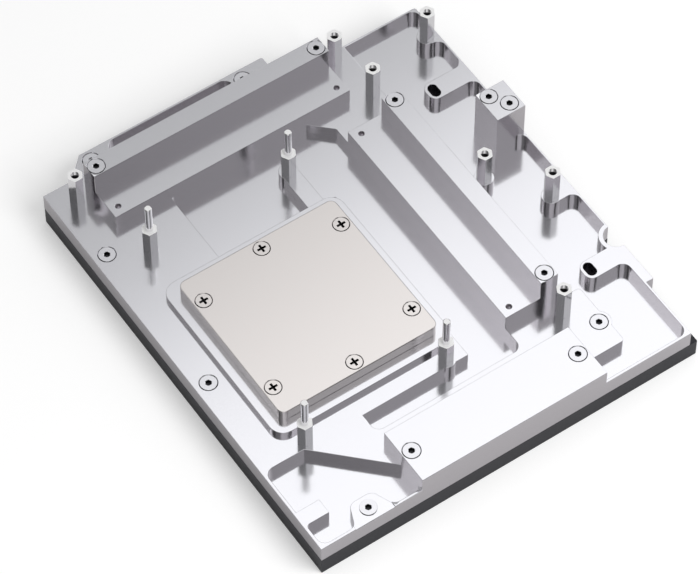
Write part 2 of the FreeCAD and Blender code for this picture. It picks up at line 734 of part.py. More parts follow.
def main_plate():
    body = new_body("main_plate")
    blank = sketch_on(body, "plate_outline", size["base_thick"])
    outline(blank, plate_edge(size["corner_inset"], plate_right))
    pad(body, blank, size["rim_thick"])
    channel_pocket(body)
    near_pocket(body)
    right_pocket(body)
    lug_pocket(body)
    plate_bosses(body)
    plate_steps(body)

    notch = sketch_on(body, "notch", rim_level)
    circle(notch, plate_right, notch_y, size["notch_radius"])
    pocket(body, notch, size["rim_thick"])
    slots = sketch_on(body, "slots", rim_level)
    half = size["slot_span"] / 2
    slot_x = plate_right - size["slot_in"]
    for y in (slot_back, slot_front):
        obround(slots, (slot_x, y - half), (slot_x, y + half), size["slot_radius"])
    pocket(body, slots, size["rim_thick"])
    spot = sketch_on(body, "spot_face", rim_level)
    rectangle(spot, hump_x - size["spot_left_half"], hump_x + size["spot_right_half"],
              base_front, hump_y + size["hump_reach"])
    pocket(body, spot, size["spot_deep"])

    window = sketch_on(body, "window", plinth_level)
    square(window, size["window_side"], size["window_corner"], block_x, block_y)
    pocket(body, window, size["plinth_rise"] + size["rim_thick"])
    groove = sketch_on(body, "block_groove", plinth_level)
    block_ring(groove, -size["seal_side_gap"])
    block_ring(groove, size["seal_wide"] + size["seal_side_gap"])
    pocket(body, groove, size["seal_tall"])

    stems = sketch_on(body, "stem_holes", rim_level)
    for x, y in list(STUDS.values()) + list(STANDOFFS.values()):
        circle(stems, x, y, size["stem_radius"] + size["stem_gap"])
    pocket(body, stems, size["stem_long"] + size["stem_hole_extra"])
    block_holes = sketch_on(body, "block_screw_holes", plinth_level)
    for x, y in BLOCK_SCREWS:
        circle(block_holes, x, y, size["shank_radius"] + size["screw_gap"])
    pocket(body, block_holes, size["block_screw_long"] - size["block_thick"] + size["screw_hole_extra"])
    countersinks(body, "rim", rim_level, RIM_SCREWS, size["head_radius"])
    countersinks(body, "land", low_level, LAND_SCREWS, size["head_radius"])
    countersinks(body, "high", high_level, HIGH_SCREWS, size["head_radius"])

    pins = sketch_on(body, "pin_holes", low_level)
    ridge_y = left_ridge_front + size["pin_hole_set"]
    ridge_x = right_ridge_left + size["pin_hole_set"]
    circle(pins, left_ridge_start + size["pin_hole_in"], ridge_y, size["pin_hole_radius"])
    circle(pins, left_ridge_end - size["pin_hole_in"], ridge_y, size["pin_hole_radius"])
    circle(pins, ridge_x, right_ridge_back - size["pin_hole_in"], size["pin_hole_radius"])
    circle(pins, ridge_x, right_ridge_front + size["pin_hole_in"], size["pin_hole_radius"])
    pocket(body, pins, size["pin_hole_deep"])

    cavities = sketch_on(body, "port_cavities", size["base_thick"])
    for x in (-size["port_x"], size["port_x"]):
        circle(cavities, x, port_y, size["port_radius"] + size["port_relief"])
    pocket(body, cavities, size["cavity_deep"], upward=True)
    finish(body)


# Block, jet plate and seal over the chamber

def cpu_block():
    body = new_body("cpu_block")
    flange = sketch_on(body, "flange", plinth_level)
    square(flange, size["block_side"], size["block_corner"], block_x, block_y)
    pad(body, flange, size["block_thick"])
    boss = sketch_on(body, "boss", plinth_level)
    gap = size["window_gap"]
    square(boss, size["window_side"] - gap * 2, size["window_corner"] - gap, block_x, block_y)
    pad(body, boss, size["boss_deep"], downward=True)

    fin = sketch_on(body, "fin", plinth_level - size["boss_deep"])
    first_fin = block_x - size["fin_pitch"] * (size["fin_count"] - 1) / 2
    rectangle(fin, first_fin - size["fin_thick"] / 2, first_fin + size["fin_thick"] / 2,
              block_y - size["fin_long"] / 2, block_y + size["fin_long"] / 2)
    chamber = plinth_level - size["boss_deep"] - size["base_thick"] - size["jet_thick"]
    one = pad(body, fin, chamber - size["fin_gap"], downward=True)
    comb = body.newObject("PartDesign::LinearPattern", "fin_comb")
    comb.Originals = [one]
    comb.Direction = (fin, ["H_Axis"])
    comb.Mode = "Spacing"
    comb.setExpression("Offset", size["fin_pitch"].words)
    comb.setExpression("Occurrences", size["fin_count"].words)
    body.Tip = comb
    check(comb)
    countersinks(body, "block", block_level, BLOCK_SCREWS, size["block_head_radius"])
    finish(body)


def jet_plate():
    body = new_body("jet_plate")
    sheet_outline = sketch_on(body, "jet_sheet", size["base_thick"])
    gap = size["window_gap"]
    square(sheet_outline, size["window_side"] - gap * 2, size["window_corner"] - gap,
           block_x, block_y)
    pad(body, sheet_outline, size["jet_thick"])
    slots = sketch_on(body, "jet_slots", size["base_thick"] + size["jet_thick"])
    jet_radius = size["jet_slot_wide"] / 2
    jet_reach = size["jet_slot_long"] / 2 - jet_radius
    obround(slots, (block_x - jet_reach, block_y),
            (block_x + jet_reach, block_y), jet_radius)
    drain_radius = size["drain_slot_wide"] / 2
    drain_reach = size["drain_slot_long"] / 2 - drain_radius
    obround(slots, (drain_x, block_y - drain_reach),
            (drain_x, block_y + drain_reach), drain_radius)
    pocket(body, slots, size["jet_thick"])
    finish(body)


def block_seal():
    body = new_body("block_seal")
    loop = sketch_on(body, "block_loop", plinth_level)
    block_ring(loop, zero)
    block_ring(loop, size["seal_wide"])
    pad(body, loop, size["seal_tall"], downward=True)
    finish(body)


# Standoffs, studs and screws

def standoff(name, x, y, tall, pin):
    """A hexagonal standoff on a stem, with a threaded bore, or with a pin on top."""
    body = new_body(name)
    hexagonal = sketch_on(body, name + "_hex", rim_level)
    hexagon(hexagonal, x, y, size["hex_flats"])
    pad(body, hexagonal, tall)
    stem = sketch_on(body, name + "_stem", rim_level)
    circle(stem, x, y, size["stem_radius"])
    pad(body, stem, size["stem_long"], downward=True)
    top = sketch_on(body, name + "_top", rim_level + tall)
    if pin:
        circle(top, x, y, size["pin_radius"])
        pad(body, top, size["pin_long"])
    else:
        circle(top, x, y, size["thread_bore"])
        pocket(body, top, size["thread_deep"])
    finish(body)


def screw(name, length, head_radius, cross):
    """One countersunk screw, its flat head at height zero, with a short straight rim."""
    body = new_body(name)
    rim = size["head_rim"]
    cone = head_radius - size["shank_radius"]
    turned(body, name + "_profile", [
        (zero, -length), (size["shank_radius"], -length), (size["shank_radius"], -(rim + cone)),
        (head_radius, -rim), (head_radius, zero), (zero, zero),
    ])
    recess = sketch_on(body, name + "_recess", zero)
    if cross:
        arm = size["cross_wide"] / 2
        span = size["cross_span"] / 2
        outline(recess, [
            (-arm, -span), (arm, -span), (arm, -arm), (span, -arm), (span, arm), (arm, arm),
            (arm, span), (-arm, span), (-arm, arm), (-span, arm), (-span, -arm), (-arm, -arm),
        ])
        pocket(body, recess, size["cross_deep"])
    else:
        hexagon(recess, zero, zero, size["socket_flats"])
        pocket(body, recess, size["socket_deep"])
    return body


def screws(name, level, places, length, head_radius, cross=False):
    """A group of the same screws, each a solid of its own, set flush at one level."""
    pattern = screw(name + "_one", length, head_radius, cross)
    links = []
    for number, (x, y) in enumerate(places, start=1):
        link = document.addObject("App::Link", "%s_%d" % (name, number))
        link.LinkedObject = pattern
        link.setExpression("Placement.Base.x", x.words)
        link.setExpression("Placement.Base.y", y.words)
        link.setExpression("Placement.Base.z", level.words)
        links.append(link)
    group = document.addObject("Part::Compound", name)
    group.Label = name
    group.Links = links
    finish(group)


base_plate()
channel_seal()
main_plate()
cpu_block()
jet_plate()
block_seal()
for name, (x, y) in STUDS.items():
    standoff(name, x, y, size["stud_tall"], pin=True)
for name, (x, y) in STANDOFFS.items():
    standoff(name, x, y, size["standoff_tall"], pin=False)
screws("rim_screws", rim_level, RIM_SCREWS, size["rim_thick"] + size["screw_grip"], size["head_radius"])
screws("land_screws", low_level, LAND_SCREWS,
       size["rim_thick"] + size["low_rise"] + size["screw_grip"], size["head_radius"])
screws("ridge_screws", high_level, HIGH_SCREWS,
       size["rim_thick"] + size["high_rise"] + size["screw_grip"], size["head_radius"])
screws("block_screws", block_level, BLOCK_SCREWS, size["block_screw_long"],
       size["block_head_radius"], cross=True)

document.recompute()
for item in document.Objects:
    if "Invalid" in item.State or "Error" in item.State:
        raise ValueError("%s failed" % item.Label)
os.makedirs("parts", exist_ok=True)
for name, node in finished.items():
    if node.Shape.isNull() or not node.Shape.isValid():
        raise ValueError("%s has no valid shape" % name)
    node.Shape.exportStep("parts/%s.step" % name)
    print(name, len(node.Shape.Solids), "solids", round(node.Shape.Volume, 1))
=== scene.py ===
# The looks of a liquid cooling cold plate: finishes, broken edges, light and camera.
import math

import bmesh
import bpy
from mathutils import Matrix, Vector


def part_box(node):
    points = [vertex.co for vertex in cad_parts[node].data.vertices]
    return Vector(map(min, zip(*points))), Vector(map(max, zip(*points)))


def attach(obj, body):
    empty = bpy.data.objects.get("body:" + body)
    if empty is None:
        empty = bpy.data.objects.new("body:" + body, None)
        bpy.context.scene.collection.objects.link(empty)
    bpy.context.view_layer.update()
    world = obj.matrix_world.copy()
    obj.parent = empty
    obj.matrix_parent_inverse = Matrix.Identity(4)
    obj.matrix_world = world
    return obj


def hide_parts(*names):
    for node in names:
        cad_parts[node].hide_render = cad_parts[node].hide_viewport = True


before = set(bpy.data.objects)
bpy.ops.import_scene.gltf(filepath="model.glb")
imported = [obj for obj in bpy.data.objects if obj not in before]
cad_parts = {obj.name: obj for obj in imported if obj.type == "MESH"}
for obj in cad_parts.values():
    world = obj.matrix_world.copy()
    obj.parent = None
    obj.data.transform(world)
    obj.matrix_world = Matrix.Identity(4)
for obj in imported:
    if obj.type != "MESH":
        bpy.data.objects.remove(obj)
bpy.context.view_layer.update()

MM = 0.001
scene = bpy.context.scene


# Small helpers

def colour(text):
    """An sRGB hex value as the linear colour that a shader takes."""
    channels = []
    for start in (1, 3, 5):
        value = int(text[start:start + 2], 16) / 255
        if value <= 0.04045:
            value = value / 12.92
        else:
            value = ((value + 0.055) / 1.055) ** 2.4
        channels.append(value)
    return (*channels, 1)


def add(tree, kind, inputs=None, **settings):
    """One node with its settings. An input is a plain value or another node's output."""
    made = tree.nodes.new(kind)
    for name, value in settings.items():
        setattr(made, name, value)
    for name, value in (inputs or {}).items():
        if isinstance(value, bpy.types.NodeSocket):
            tree.links.new(value, made.inputs[name])
        else:
            made.inputs[name].default_value = value
    return made


def ramp(tree, factor, stops):
    """A grey that follows the factor through (place, brightness) stops."""
    made = add(tree, "ShaderNodeValToRGB", {"Fac": factor})
    elements = made.color_ramp.elements
    while len(elements) < len(stops):
        elements.new(0.5)
    for element, (place, grey) in zip(elements, stops):
        element.position = place
        element.color = (grey, grey, grey, 1)
    return made.outputs["Color"]


def new_material(name):
    """An empty material with its tree and its output node."""
    material = bpy.data.materials.new(name)
    material.use_nodes = True
    tree = material.node_tree
    tree.nodes.clear()
    return material, tree, add(tree, "ShaderNodeOutputMaterial")


# Camera, as the photograph's was found from the part's corners

IMAGE_WIDTH = 698
FOCAL_PIXELS = 4041
SENSOR = 36
AZIMUTH = math.radians(-34.09)
ELEVATION = math.radians(55.43)
ROLL = math.radians(-0.20)
DISTANCE = 1321.96 * MM
AIM_RIGHT = -5.92 * MM
AIM_UP = -0.12 * MM
CENTRE = Vector((0, -3.8 * MM, 0))
NEAREST = 0.1
FARTHEST = 20

back = Vector((
    math.sin(AZIMUTH) * math.cos(ELEVATION),
    -math.cos(AZIMUTH) * math.cos(ELEVATION),
    math.sin(ELEVATION),
))
level_right = Vector((math.cos(AZIMUTH), math.sin(AZIMUTH), 0))
level_up = back.cross(level_right)
right = math.cos(ROLL) * level_right + math.sin(ROLL) * level_up
up = back.cross(right)

eye = CENTRE + back * DISTANCE + right * AIM_RIGHT + up * AIM_UP

camera_data = bpy.data.cameras.new("camera")
camera_data.sensor_width = SENSOR
camera_data.lens = FOCAL_PIXELS / IMAGE_WIDTH * SENSOR
camera_data.clip_start = NEAREST
camera_data.clip_end = FARTHEST
camera = bpy.data.objects.new("camera", camera_data)
camera.matrix_world = Matrix((
    (right.x, up.x, back.x, eye.x),
    (right.y, up.y, back.y, eye.y),
    (right.z, up.z, back.z, eye.z),
    (0, 0, 0, 1),
))
scene.collection.objects.link(camera)
scene.camera = camera
scene.view_settings.view_transform = "Standard"


# Light: a white studio, whose dark and light walls the bare metal shows

# Where the far side lies, as an angle in the level plane
FAR_SIDE = math.atan2(-back.y, -back.x)
# Where the far side begins, and where the ceiling does, along a direction of length one
FAR_FROM, FAR_TO = 0.25, 0.5
CEILING_FROM, CEILING_TO = 0.90, 0.96
# What lights dull surfaces evenly from all sides
FILL = 0.62
# Round about, from 0 to 1, the middle of the left side and how far it reaches to both sides
LEFT_MIDDLE = 0.70
LEFT_REACH = 0.045
# How much more the far side follows the photograph's height than its width
SLANT = 1.35

world = bpy.data.worlds.new("studio")
scene.world = world
world.use_nodes = True
world.cycles.sampling_method = "NONE"
sky = world.node_tree
sky.nodes.clear()
direction = add(sky, "ShaderNodeTexCoord").outputs["Generated"]
facing = add(sky, "ShaderNodeMapping", {
    "Vector": direction,
    "Rotation": (0, 0, -FAR_SIDE),
})
parts = add(sky, "ShaderNodeSeparateXYZ", {"Vector": facing.outputs["Vector"]})
turn = add(sky, "ShaderNodeMath", {0: parts.outputs["Y"], 1: parts.outputs["X"]}, operation="ARCTAN2")
round_about = add(sky, "ShaderNodeMapRange", {
    "Value": turn.outputs[0], "From Min": -math.pi, "From Max": math.pi,
})
# From the near side, turning by the right, the far side and the left: what upright faces show.
upright_walls = ramp(sky, round_about.outputs["Result"], [
    (0.0, 0.9),
    (0.09, 0.8),
    (0.122, 0.05),
    (0.145, 0.05),
    (0.17, 0.5),
    (0.189, 0.65),
    (0.35, 1.0),
    (0.5, 1.4),
    (0.65, 0.55),
    (0.678, 0.2),
    (0.688, 0.26),
    (0.70, 1.3),
    (0.712, 1.6),
    (0.735, 0.9),
    (0.77, 0.3),
    (0.795, 0.05),
    (0.825, 0.05),
    (0.856, 0.25),
    (0.94, 0.28),
    (0.97, 0.9),
])
# The left side, which the walls facing left show, grows darker toward the photograph's top.
steeper = add(sky, "ShaderNodeMapRange", {
    "Value": parts.outputs["Z"], "From Min": 0.795, "From Max": 0.826, "To Min": 0.5, "To Max": 1.4,
})
on_left = add(sky, "ShaderNodeMath", {
    0: round_about.outputs["Result"], 1: LEFT_MIDDLE, 2: LEFT_REACH,
}, operation="COMPARE")
dimmed = add(sky, "ShaderNodeMix", {
    0: on_left.outputs[0], 2: 1.0, 3: steeper.outputs["Result"],
}, data_type="FLOAT")
walls = add(sky, "ShaderNodeMath", {0: upright_walls, 1: dimmed.outputs[0]}, operation="MULTIPLY")
# The far side, which level faces show, grows lighter toward the photograph's lower right.
toward = (right - SLANT * up).normalized()
lightens = Vector((toward.x, toward.y, -toward.z))
across = add(sky, "ShaderNodeVectorMath", {0: direction, 1: lightens}, operation="DOT_PRODUCT")
fade = add(sky, "ShaderNodeMapRange", {
    "Value": across.outputs["Value"],
    "From Min": -0.036, "From Max": 0.004, "To Min": 0.52, "To Max": 1.48,
}, interpolation_type="SMOOTHSTEP")
far = add(sky, "ShaderNodeMapRange", {
    "Value": parts.outputs["X"], "From Min": FAR_FROM, "From Max": FAR_TO,
})
mirrored = add(sky, "ShaderNodeMix", {
    0: far.outputs["Result"], 2: walls.outputs[0], 3: fade.outputs["Result"],
}, data_type="FLOAT")
# A ceiling, which the level faces show from above, a little lighter on one side than on the other.
above = add(sky, "ShaderNodeMapRange", {
    "Value": parts.outputs["Z"], "From Min": CEILING_FROM, "From Max": CEILING_TO,
})
ceiling = add(sky, "ShaderNodeMapRange", {
    "Value": parts.outputs["Y"], "From Min": -0.12, "From Max": 0.12, "To Min": 0.45, "To Max": 0.85,
})
lidded = add(sky, "ShaderNodeMix", {
    0: above.outputs["Result"], 2: mirrored.outputs[0], 3: ceiling.outputs["Result"],
}, data_type="FLOAT")
light_path = add(sky, "ShaderNodeLightPath")
shown = add(sky, "ShaderNodeMix", {
    0: light_path.outputs["Is Glossy Ray"], 2: FILL, 3: lidded.outputs[0],
}, data_type="FLOAT")
seen = add(sky, "ShaderNodeMix", {
    0: light_path.outputs["Is Camera Ray"], 2: shown.outputs[0], 3: 1.0,
}, data_type="FLOAT")
background = add(sky, "ShaderNodeBackground", {"Strength": seen.outputs[0]})
add(sky, "ShaderNodeOutputWorld", {"Surface": background.outputs[0]})

# A soft box in front and to the right, for the floor and the shadow. The metal doesn't mirror it.
BOX_WIDE = 0.5
BOX_WATTS = 4.5
BOX_PLACE = (0.20, -0.55, 0.75)
key_data = bpy.data.lights.new("soft_box", "AREA")
key_data.shape = "SQUARE"
key_data.size = BOX_WIDE
key_data.energy = BOX_WATTS
key = bpy.data.objects.new("soft_box", key_data)
key.location = BOX_PLACE
key.rotation_mode = "QUATERNION"
key.rotation_quaternion = key.location.to_track_quat("Z", "Y")
key.visible_glossy = False
scene.collection.objects.link(key)


# Floor: white to the camera, with the part's own soft shadow

# Half the floor's width, how far it lies under the part, what it adds to the white that the camera
# sees, and how near a surface is that counts as touching it
FLOOR = 2.5
UNDER = -0.05 * MM
LIFT = 0.3
TOUCHING = 0.5 * MM

floor_mesh = bpy.data.meshes.new("floor")
floor_mesh.from_pydata([
    (-FLOOR, -FLOOR, UNDER), (FLOOR, -FLOOR, UNDER), (FLOOR, FLOOR, UNDER), (-FLOOR, FLOOR, UNDER),
], [], [(0, 1, 2, 3)])
floor = bpy.data.objects.new("floor", floor_mesh)
scene.collection.objects.link(floor)
paper, tree, output = new_material("white_paper_floor")
matt = add(tree, "ShaderNodeBsdfDiffuse", {"Color": colour("#efefef")})
path = add(tree, "ShaderNodeLightPath")
lift = add(tree, "ShaderNodeMath", {0: path.outputs["Is Camera Ray"], 1: LIFT}, operation="MULTIPLY")
glow = add(tree, "ShaderNodeEmission", {"Strength": lift.outputs[0]})
both = add(tree, "ShaderNodeAddShader", {0: matt.outputs[0], 1: glow.outputs[0]})
# The floor is left out from below, and for light that leaves the part's underside right above it.
from_below = add(tree, "ShaderNodeNewGeometry").outputs["Backfacing"]
close_by = add(tree, "ShaderNodeMath", {0: path.outputs["Ray Length"], 1: TOUCHING}, operation="LESS_THAN")
left_out = add(tree, "ShaderNodeMath", {0: from_below, 1: close_by.outputs[0]}, operation="MAXIMUM")
nothing = add(tree, "ShaderNodeBsdfTransparent")
one_sided = add(tree, "ShaderNodeMixShader", {
    0: left_out.outputs[0], 1: both.outputs[0], 2: nothing.outputs[0],
})
tree.links.new(one_sided.outputs[0], output.inputs["Surface"])
floor_mesh.materials.append(paper)


# Materials

# How deep the marks of a tool are taken to be
MARKS_DEEP = 0.01 * MM
# How upright a face's normal is on a wall at most, and on a level face at least, where the painted shade
# on walls fades in
WALL_BELOW, LEVEL_ABOVE = 0.3, 0.8


def worked_metal(name, tint, roughness, grain, depth, uneven=0.03, wall_shade_tint=None, mirror=1.0):
    """Bare metal off a cutter or a lathe: a mirror softened by marks of a given grain in mm.

    Its roughness varies by the uneven share, and its walls can have a tint of their own, used as painted
    shade. A mirror share under one stands for marks so coarse that part of the light leaves every way;
    with a white tint it paints a highlight as well.
    """
    material, tree, output = new_material(name)
    given = add(tree, "ShaderNodeTexCoord")
    place = given.outputs["Object"]
    marks = add(tree, "ShaderNodeTexNoise", {"Vector": place, "Scale": 1 / (grain * MM), "Detail": 3.0})
    bump = add(tree, "ShaderNodeBump", {
        "Height": marks.outputs["Fac"], "Strength": depth, "Distance": MARKS_DEEP,
    })
    tone = add(tree, "ShaderNodeMapRange", {
        "Value": marks.outputs["Fac"], "To Min": roughness - uneven, "To Max": roughness + uneven,
    })
    metal = add(tree, "ShaderNodeBsdfPrincipled", {
        "Base Color": colour(tint),
        "Metallic": mirror,
        "Roughness": tone.outputs["Result"],
        "Normal": bump.outputs["Normal"],
    })
    # The walls' darker colour is painted shade, set by how upright the face is.
    if wall_shade_tint is not None:
        upright = add(tree, "ShaderNodeSeparateXYZ", {"Vector": given.outputs["Normal"]})
        steep = add(tree, "ShaderNodeMath", {0: upright.outputs["Z"]}, operation="ABSOLUTE")
        share = add(tree, "ShaderNodeMapRange", {
            "Value": steep.outputs[0], "From Min": WALL_BELOW, "From Max": LEVEL_ABOVE,
        })
        wall_shade_mix = add(tree, "ShaderNodeMix", {
            0: share.outputs["Result"], 6: colour(wall_shade_tint), 7: colour(tint),
        }, data_type="RGBA")
        tree.links.new(wall_shade_mix.outputs[2], metal.inputs["Base Color"])
    tree.links.new(metal.outputs[0], output.inputs["Surface"])
    return material


# Aluminium milled with a fine finishing cut: a soft mirror that darkens and lightens with what it faces.
# Its walls, cut by the side of the mill, carry a painted shade: a darker colour than its level faces.
aluminium = worked_metal("aluminium_milled", "#f0f0f5", 0.14, 0.4, 0.12, wall_shade_tint="#c2bec2")
# Black anodised aluminium, blasted first: an even charcoal with a wide dull sheen.
anodised = worked_metal("aluminium_anodised_black", "#454549", 0.42, 0.25, 0.12)
# Nickel plate on lapped copper: warmer than aluminium, with a satin grain, and a painted shade on its
# walls.
nickel = worked_metal("nickel_plate_satin", "#efeae8", 0.18, 0.3, 0.08, 0.03, "#ddd8d7")
# Stainless steel bar, drawn bright: its flats show dark and light walls sharply.
stainless = worked_metal("stainless_drawn", "#f2f1f3", 0.12, 0.5, 0.1)
# Stainless steel faced on a lathe, for the pillars' level ends: a duller surface, and in part a painted
# highlight, as its white colour with little mirror keeps them nearly white.
lathe_end_and_highlight = worked_metal("stainless_lathe_end_painted_highlight", "#ffffff", 0.5, 0.2, 0.3, mirror=0.3)
# Zinc-plated steel screws: as bright as the plate that they sit in.
zinc = worked_metal("steel_zinc_plated", "#f0f0f5", 0.18, 0.4, 0.2)
# Painted shade for sockets, crosses, bores and the rims of screw heads: a near black steel, so almost no
# light comes out.
recess_shade = worked_metal("steel_painted_recess_shade", "#3c3c3f", 0.3, 0.3, 0.3)


def rubber_material():
    """Moulded EPDM rubber: near black, dull, with a slight bloom."""
    material, tree, output = new_material("epdm_rubber_moulded")
    place = add(tree, "ShaderNodeTexCoord").outputs["Object"]
    bloom = add(tree, "ShaderNodeTexNoise", {"Vector": place, "Scale": 1 / (0.8 * MM), "Detail": 4.0})
    tone = add(tree, "ShaderNodeMapRange", {"Value": bloom.outputs["Fac"], "To Min": 0.55, "To Max": 0.8})
    rubber = add(tree, "ShaderNodeBsdfPrincipled", {
        "Base Color": colour("#1b1b1c"), "Roughness": tone.outputs["Result"],
    })
    tree.links.new(rubber.outputs[0], output.inputs["Surface"])
    return material


rubber = rubber_material()


# Plates: each milled solid again, with its edges broken as a deburring tool leaves them

# How near two corners are that count as one
WELD = 0.0005 * MM
# From which angle on an edge is broken, and which faces count as a countersink's cone by their slope
SHARP = math.radians(30)
CONE_FROM, CONE_TO = 0.3, 0.95
# Faces that lie level with each other make one flat, and a flat is large from this area on
LEVEL_WITH = math.cos(math.radians(0.5))
LARGE = 12 * MM * MM
# How strongly large faces rule the shading of the edges beside them, at most 100
WEIGHT = 100


def keep_flats_flat(form):
    """Mark the borders of each large flat face sharp, so that no broken edge shades into it."""
    form.normal_update()
    left = set(form.faces)
    for seed in form.faces:
        if seed not in left:
            continue
        left.remove(seed)
        flat = {seed}
        search = [seed]
        while search:
            face = search.pop()
            for line in face.edges:
                for other in line.link_faces:
                    if other in left and other.normal.dot(seed.normal) > LEVEL_WITH:
                        left.remove(other)
                        flat.add(other)
                        search.append(other)
        if sum(face.calc_area() for face in flat) < LARGE:
            continue
        for face in flat:
            for line in face.edges:
                if any(other not in flat for other in line.link_faces):
                    line.smooth = False


def dressed(name, material, edge):
    """A solid with its doubled corners joined and its sharp edges broken by a width in mm."""
    form = bmesh.new()
    form.from_mesh(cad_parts[name].data)
    bmesh.ops.remove_doubles(form, verts=form.verts, dist=WELD)
    low = [min(point.co[axis] for point in form.verts) for axis in range(3)]
    high = [max(point.co[axis] for point in form.verts) for axis in range(3)]
    sharp = []
    for line in form.edges:
        beside_cone = any(CONE_FROM < face.normal.z < CONE_TO for face in line.link_faces)
        if line.is_convex and line.calc_face_angle(0) > SHARP and not beside_cone:
            sharp.append(line)
    bmesh.ops.bevel(
        form, geom=sharp, offset=edge * MM, segments=2, profile=0.5, affect="EDGES",
        clamp_overlap=False, miter_outer="SHARP",
    )
    for point in form.verts:
        point.co = [min(max(point.co[axis], low[axis]), high[axis]) for axis in range(3)]
    keep_flats_flat(form)
    mesh = bpy.data.meshes.new(name + "_finished")
    form.to_mesh(mesh)
    form.free()
    mesh.materials.clear()
    mesh.materials.append(material)
    for face in mesh.polygons:
        face.use_smooth = True
        face.material_index = 0
    piece = bpy.data.objects.new(name + "_finished", mesh)
    scene.collection.objects.link(piece)
    shade = piece.modifiers.new("even_shade", "WEIGHTED_NORMAL")
    shade.weight = WEIGHT
    shade.keep_sharp = True
    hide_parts(name)
    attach(piece, "root")


dressed("base_plate", anodised, 0.25)
dressed("main_plate", aluminium, 0.12)
dressed("cpu_block", nickel, 0.25)

# The pieces inside keep their solids and only take their materials.
inside = {"jet_plate": stainless, "block_seal": rubber, "channel_seal": rubber}
for node_name, material in inside.items():
    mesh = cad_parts[node_name].data
    for place in range(len(mesh.materials)):
        mesh.materials[place] = material


# Fasteners, in mm: one of each kind is turned, then Geometry Nodes set it wherever the model has one

# Sides of a turned form, and the angle from which on its edges show as edges
STEPS = 48
FACETS = math.radians(12)
# What keeps a division from meeting zero
NEVER_ZERO = 1e-6
# A 3 mm metric coarse thread: its pitch, and the depth from crest to root
PITCH = 0.5
THREAD = 0.27
# How upright a face's normal is where it counts as a level end
LEVEL = 0.9


def hexagon(flats):
    """How far a hexagon reaches at an angle, with two of its corners on the X direction."""
    def reach(angle):
        return flats / 2 / math.cos(angle % (math.pi / 3) - math.pi / 6)
    return reach


def cross(arm, span):
    """How far a cross reaches at an angle, from its arms' half width and half length."""
    def reach(angle):
        along = max(abs(math.cos(angle)), NEVER_ZERO)
        beside = max(abs(math.sin(angle)), NEVER_ZERO)
        return max(min(span / along, arm / beside), min(span / beside, arm / along))
    return reach


def thread(radius, top, foot):
    """Rings of a thread's wide and narrow places, from its top to its foot."""
    rings = []
    turns = int(round((top - foot) / PITCH))
    for number in range(turns):
        height = top - PITCH * (number + 0.25)
        rings.append((height, radius, None))
        rings.append((height - PITCH / 2, radius - THREAD, None))
    return rings


def turned(name, rings, dark):
    """A closed form through rings of height, radius and the outline that cuts the radius off.

    The dark numbers tell which bands between two rings get the painted shade: a recess, a bore or a head's
    rim and cone.
    """
    form = bmesh.new()
    # Bands marked here take the painted shade.
    recess = form.faces.layers.bool.new("recess")
    loops = []
    for height, radius, outline in rings:
        if radius == 0:
            loops.append([form.verts.new((0, 0, height * MM))])
            continue
        loop = []
        for step in range(STEPS):
            angle = 2 * math.pi * step / STEPS
            reach = radius if outline is None else min(radius, outline(angle))
            loop.append(form.verts.new((
                reach * MM * math.cos(angle), reach * MM * math.sin(angle), height * MM)))
        loops.append(loop)
    for number, (upper, lower) in enumerate(zip(loops, loops[1:])):
        for step in range(STEPS):
            after = (step + 1) % STEPS
            if len(upper) == 1:
                face = form.faces.new((upper[0], lower[step], lower[after]))
            elif len(lower) == 1:
                face = form.faces.new((upper[after], upper[step], lower[0]))
            else:
                face = form.faces.new((upper[after], upper[step], lower[step], lower[after]))
            face[recess] = number in dark
    bmesh.ops.recalc_face_normals(form, faces=form.faces)
    mesh = bpy.data.meshes.new(name)
    form.to_mesh(mesh)
    form.free()
    return bpy.data.objects.new(name, mesh)


def placing_tree():
    """A tree that sets one fastener on each point, gives its level ends their own material and paints
    shade on its dark bands.
    """
    tree = bpy.data.node_groups.new("fasteners_in_place", "GeometryNodeTree")
    for name, kind in (
        ("Points", "NodeSocketGeometry"), ("Fastener", "NodeSocketObject"),
        ("Finish", "NodeSocketMaterial"), ("Level End Material", "NodeSocketMaterial"),
        ("Recess Shade", "NodeSocketMaterial"), ("Level", "NodeSocketFloat"),
    ):
        tree.interface.new_socket(name, in_out="INPUT", socket_type=kind)
    tree.interface.new_socket("Fasteners", in_out="OUTPUT", socket_type="NodeSocketGeometry")
    given = add(tree, "NodeGroupInput").outputs
    one = add(tree, "GeometryNodeObjectInfo", {"Object": given["Fastener"]})
    row = add(tree, "GeometryNodeInstanceOnPoints", {
        "Points": given["Points"], "Instance": one.outputs["Geometry"],
    })
    whole = add(tree, "GeometryNodeRealizeInstances", {"Geometry": row.outputs["Instances"]})
    normal = add(tree, "GeometryNodeInputNormal")
    upright = add(tree, "ShaderNodeSeparateXYZ", {"Vector": normal.outputs["Normal"]})
    level = add(tree, "ShaderNodeMath", {
        0: upright.outputs["Z"], 1: given["Level"],
    }, operation="GREATER_THAN")
    flanks = add(tree, "GeometryNodeSetMaterial", {
        "Geometry": whole.outputs["Geometry"], "Material": given["Finish"],
    })
    ends = add(tree, "GeometryNodeSetMaterial", {
        "Geometry": flanks.outputs["Geometry"], "Selection": level.outputs[0],
        "Material": given["Level End Material"],
    })
    # The marked bands take the near black material: painted shade.
    inside = add(tree, "GeometryNodeInputNamedAttribute", {"Name": "recess"}, data_type="BOOLEAN")
    shaded_recesses = add(tree, "GeometryNodeSetMaterial", {
        "Geometry": ends.outputs["Geometry"], "Selection": inside.outputs["Attribute"],
        "Material": given["Recess Shade"],
    })
    add(tree, "NodeGroupOutput", {"Fasteners": shaded_recesses.outputs["Geometry"]})
    return tree


placing = placing_tree()


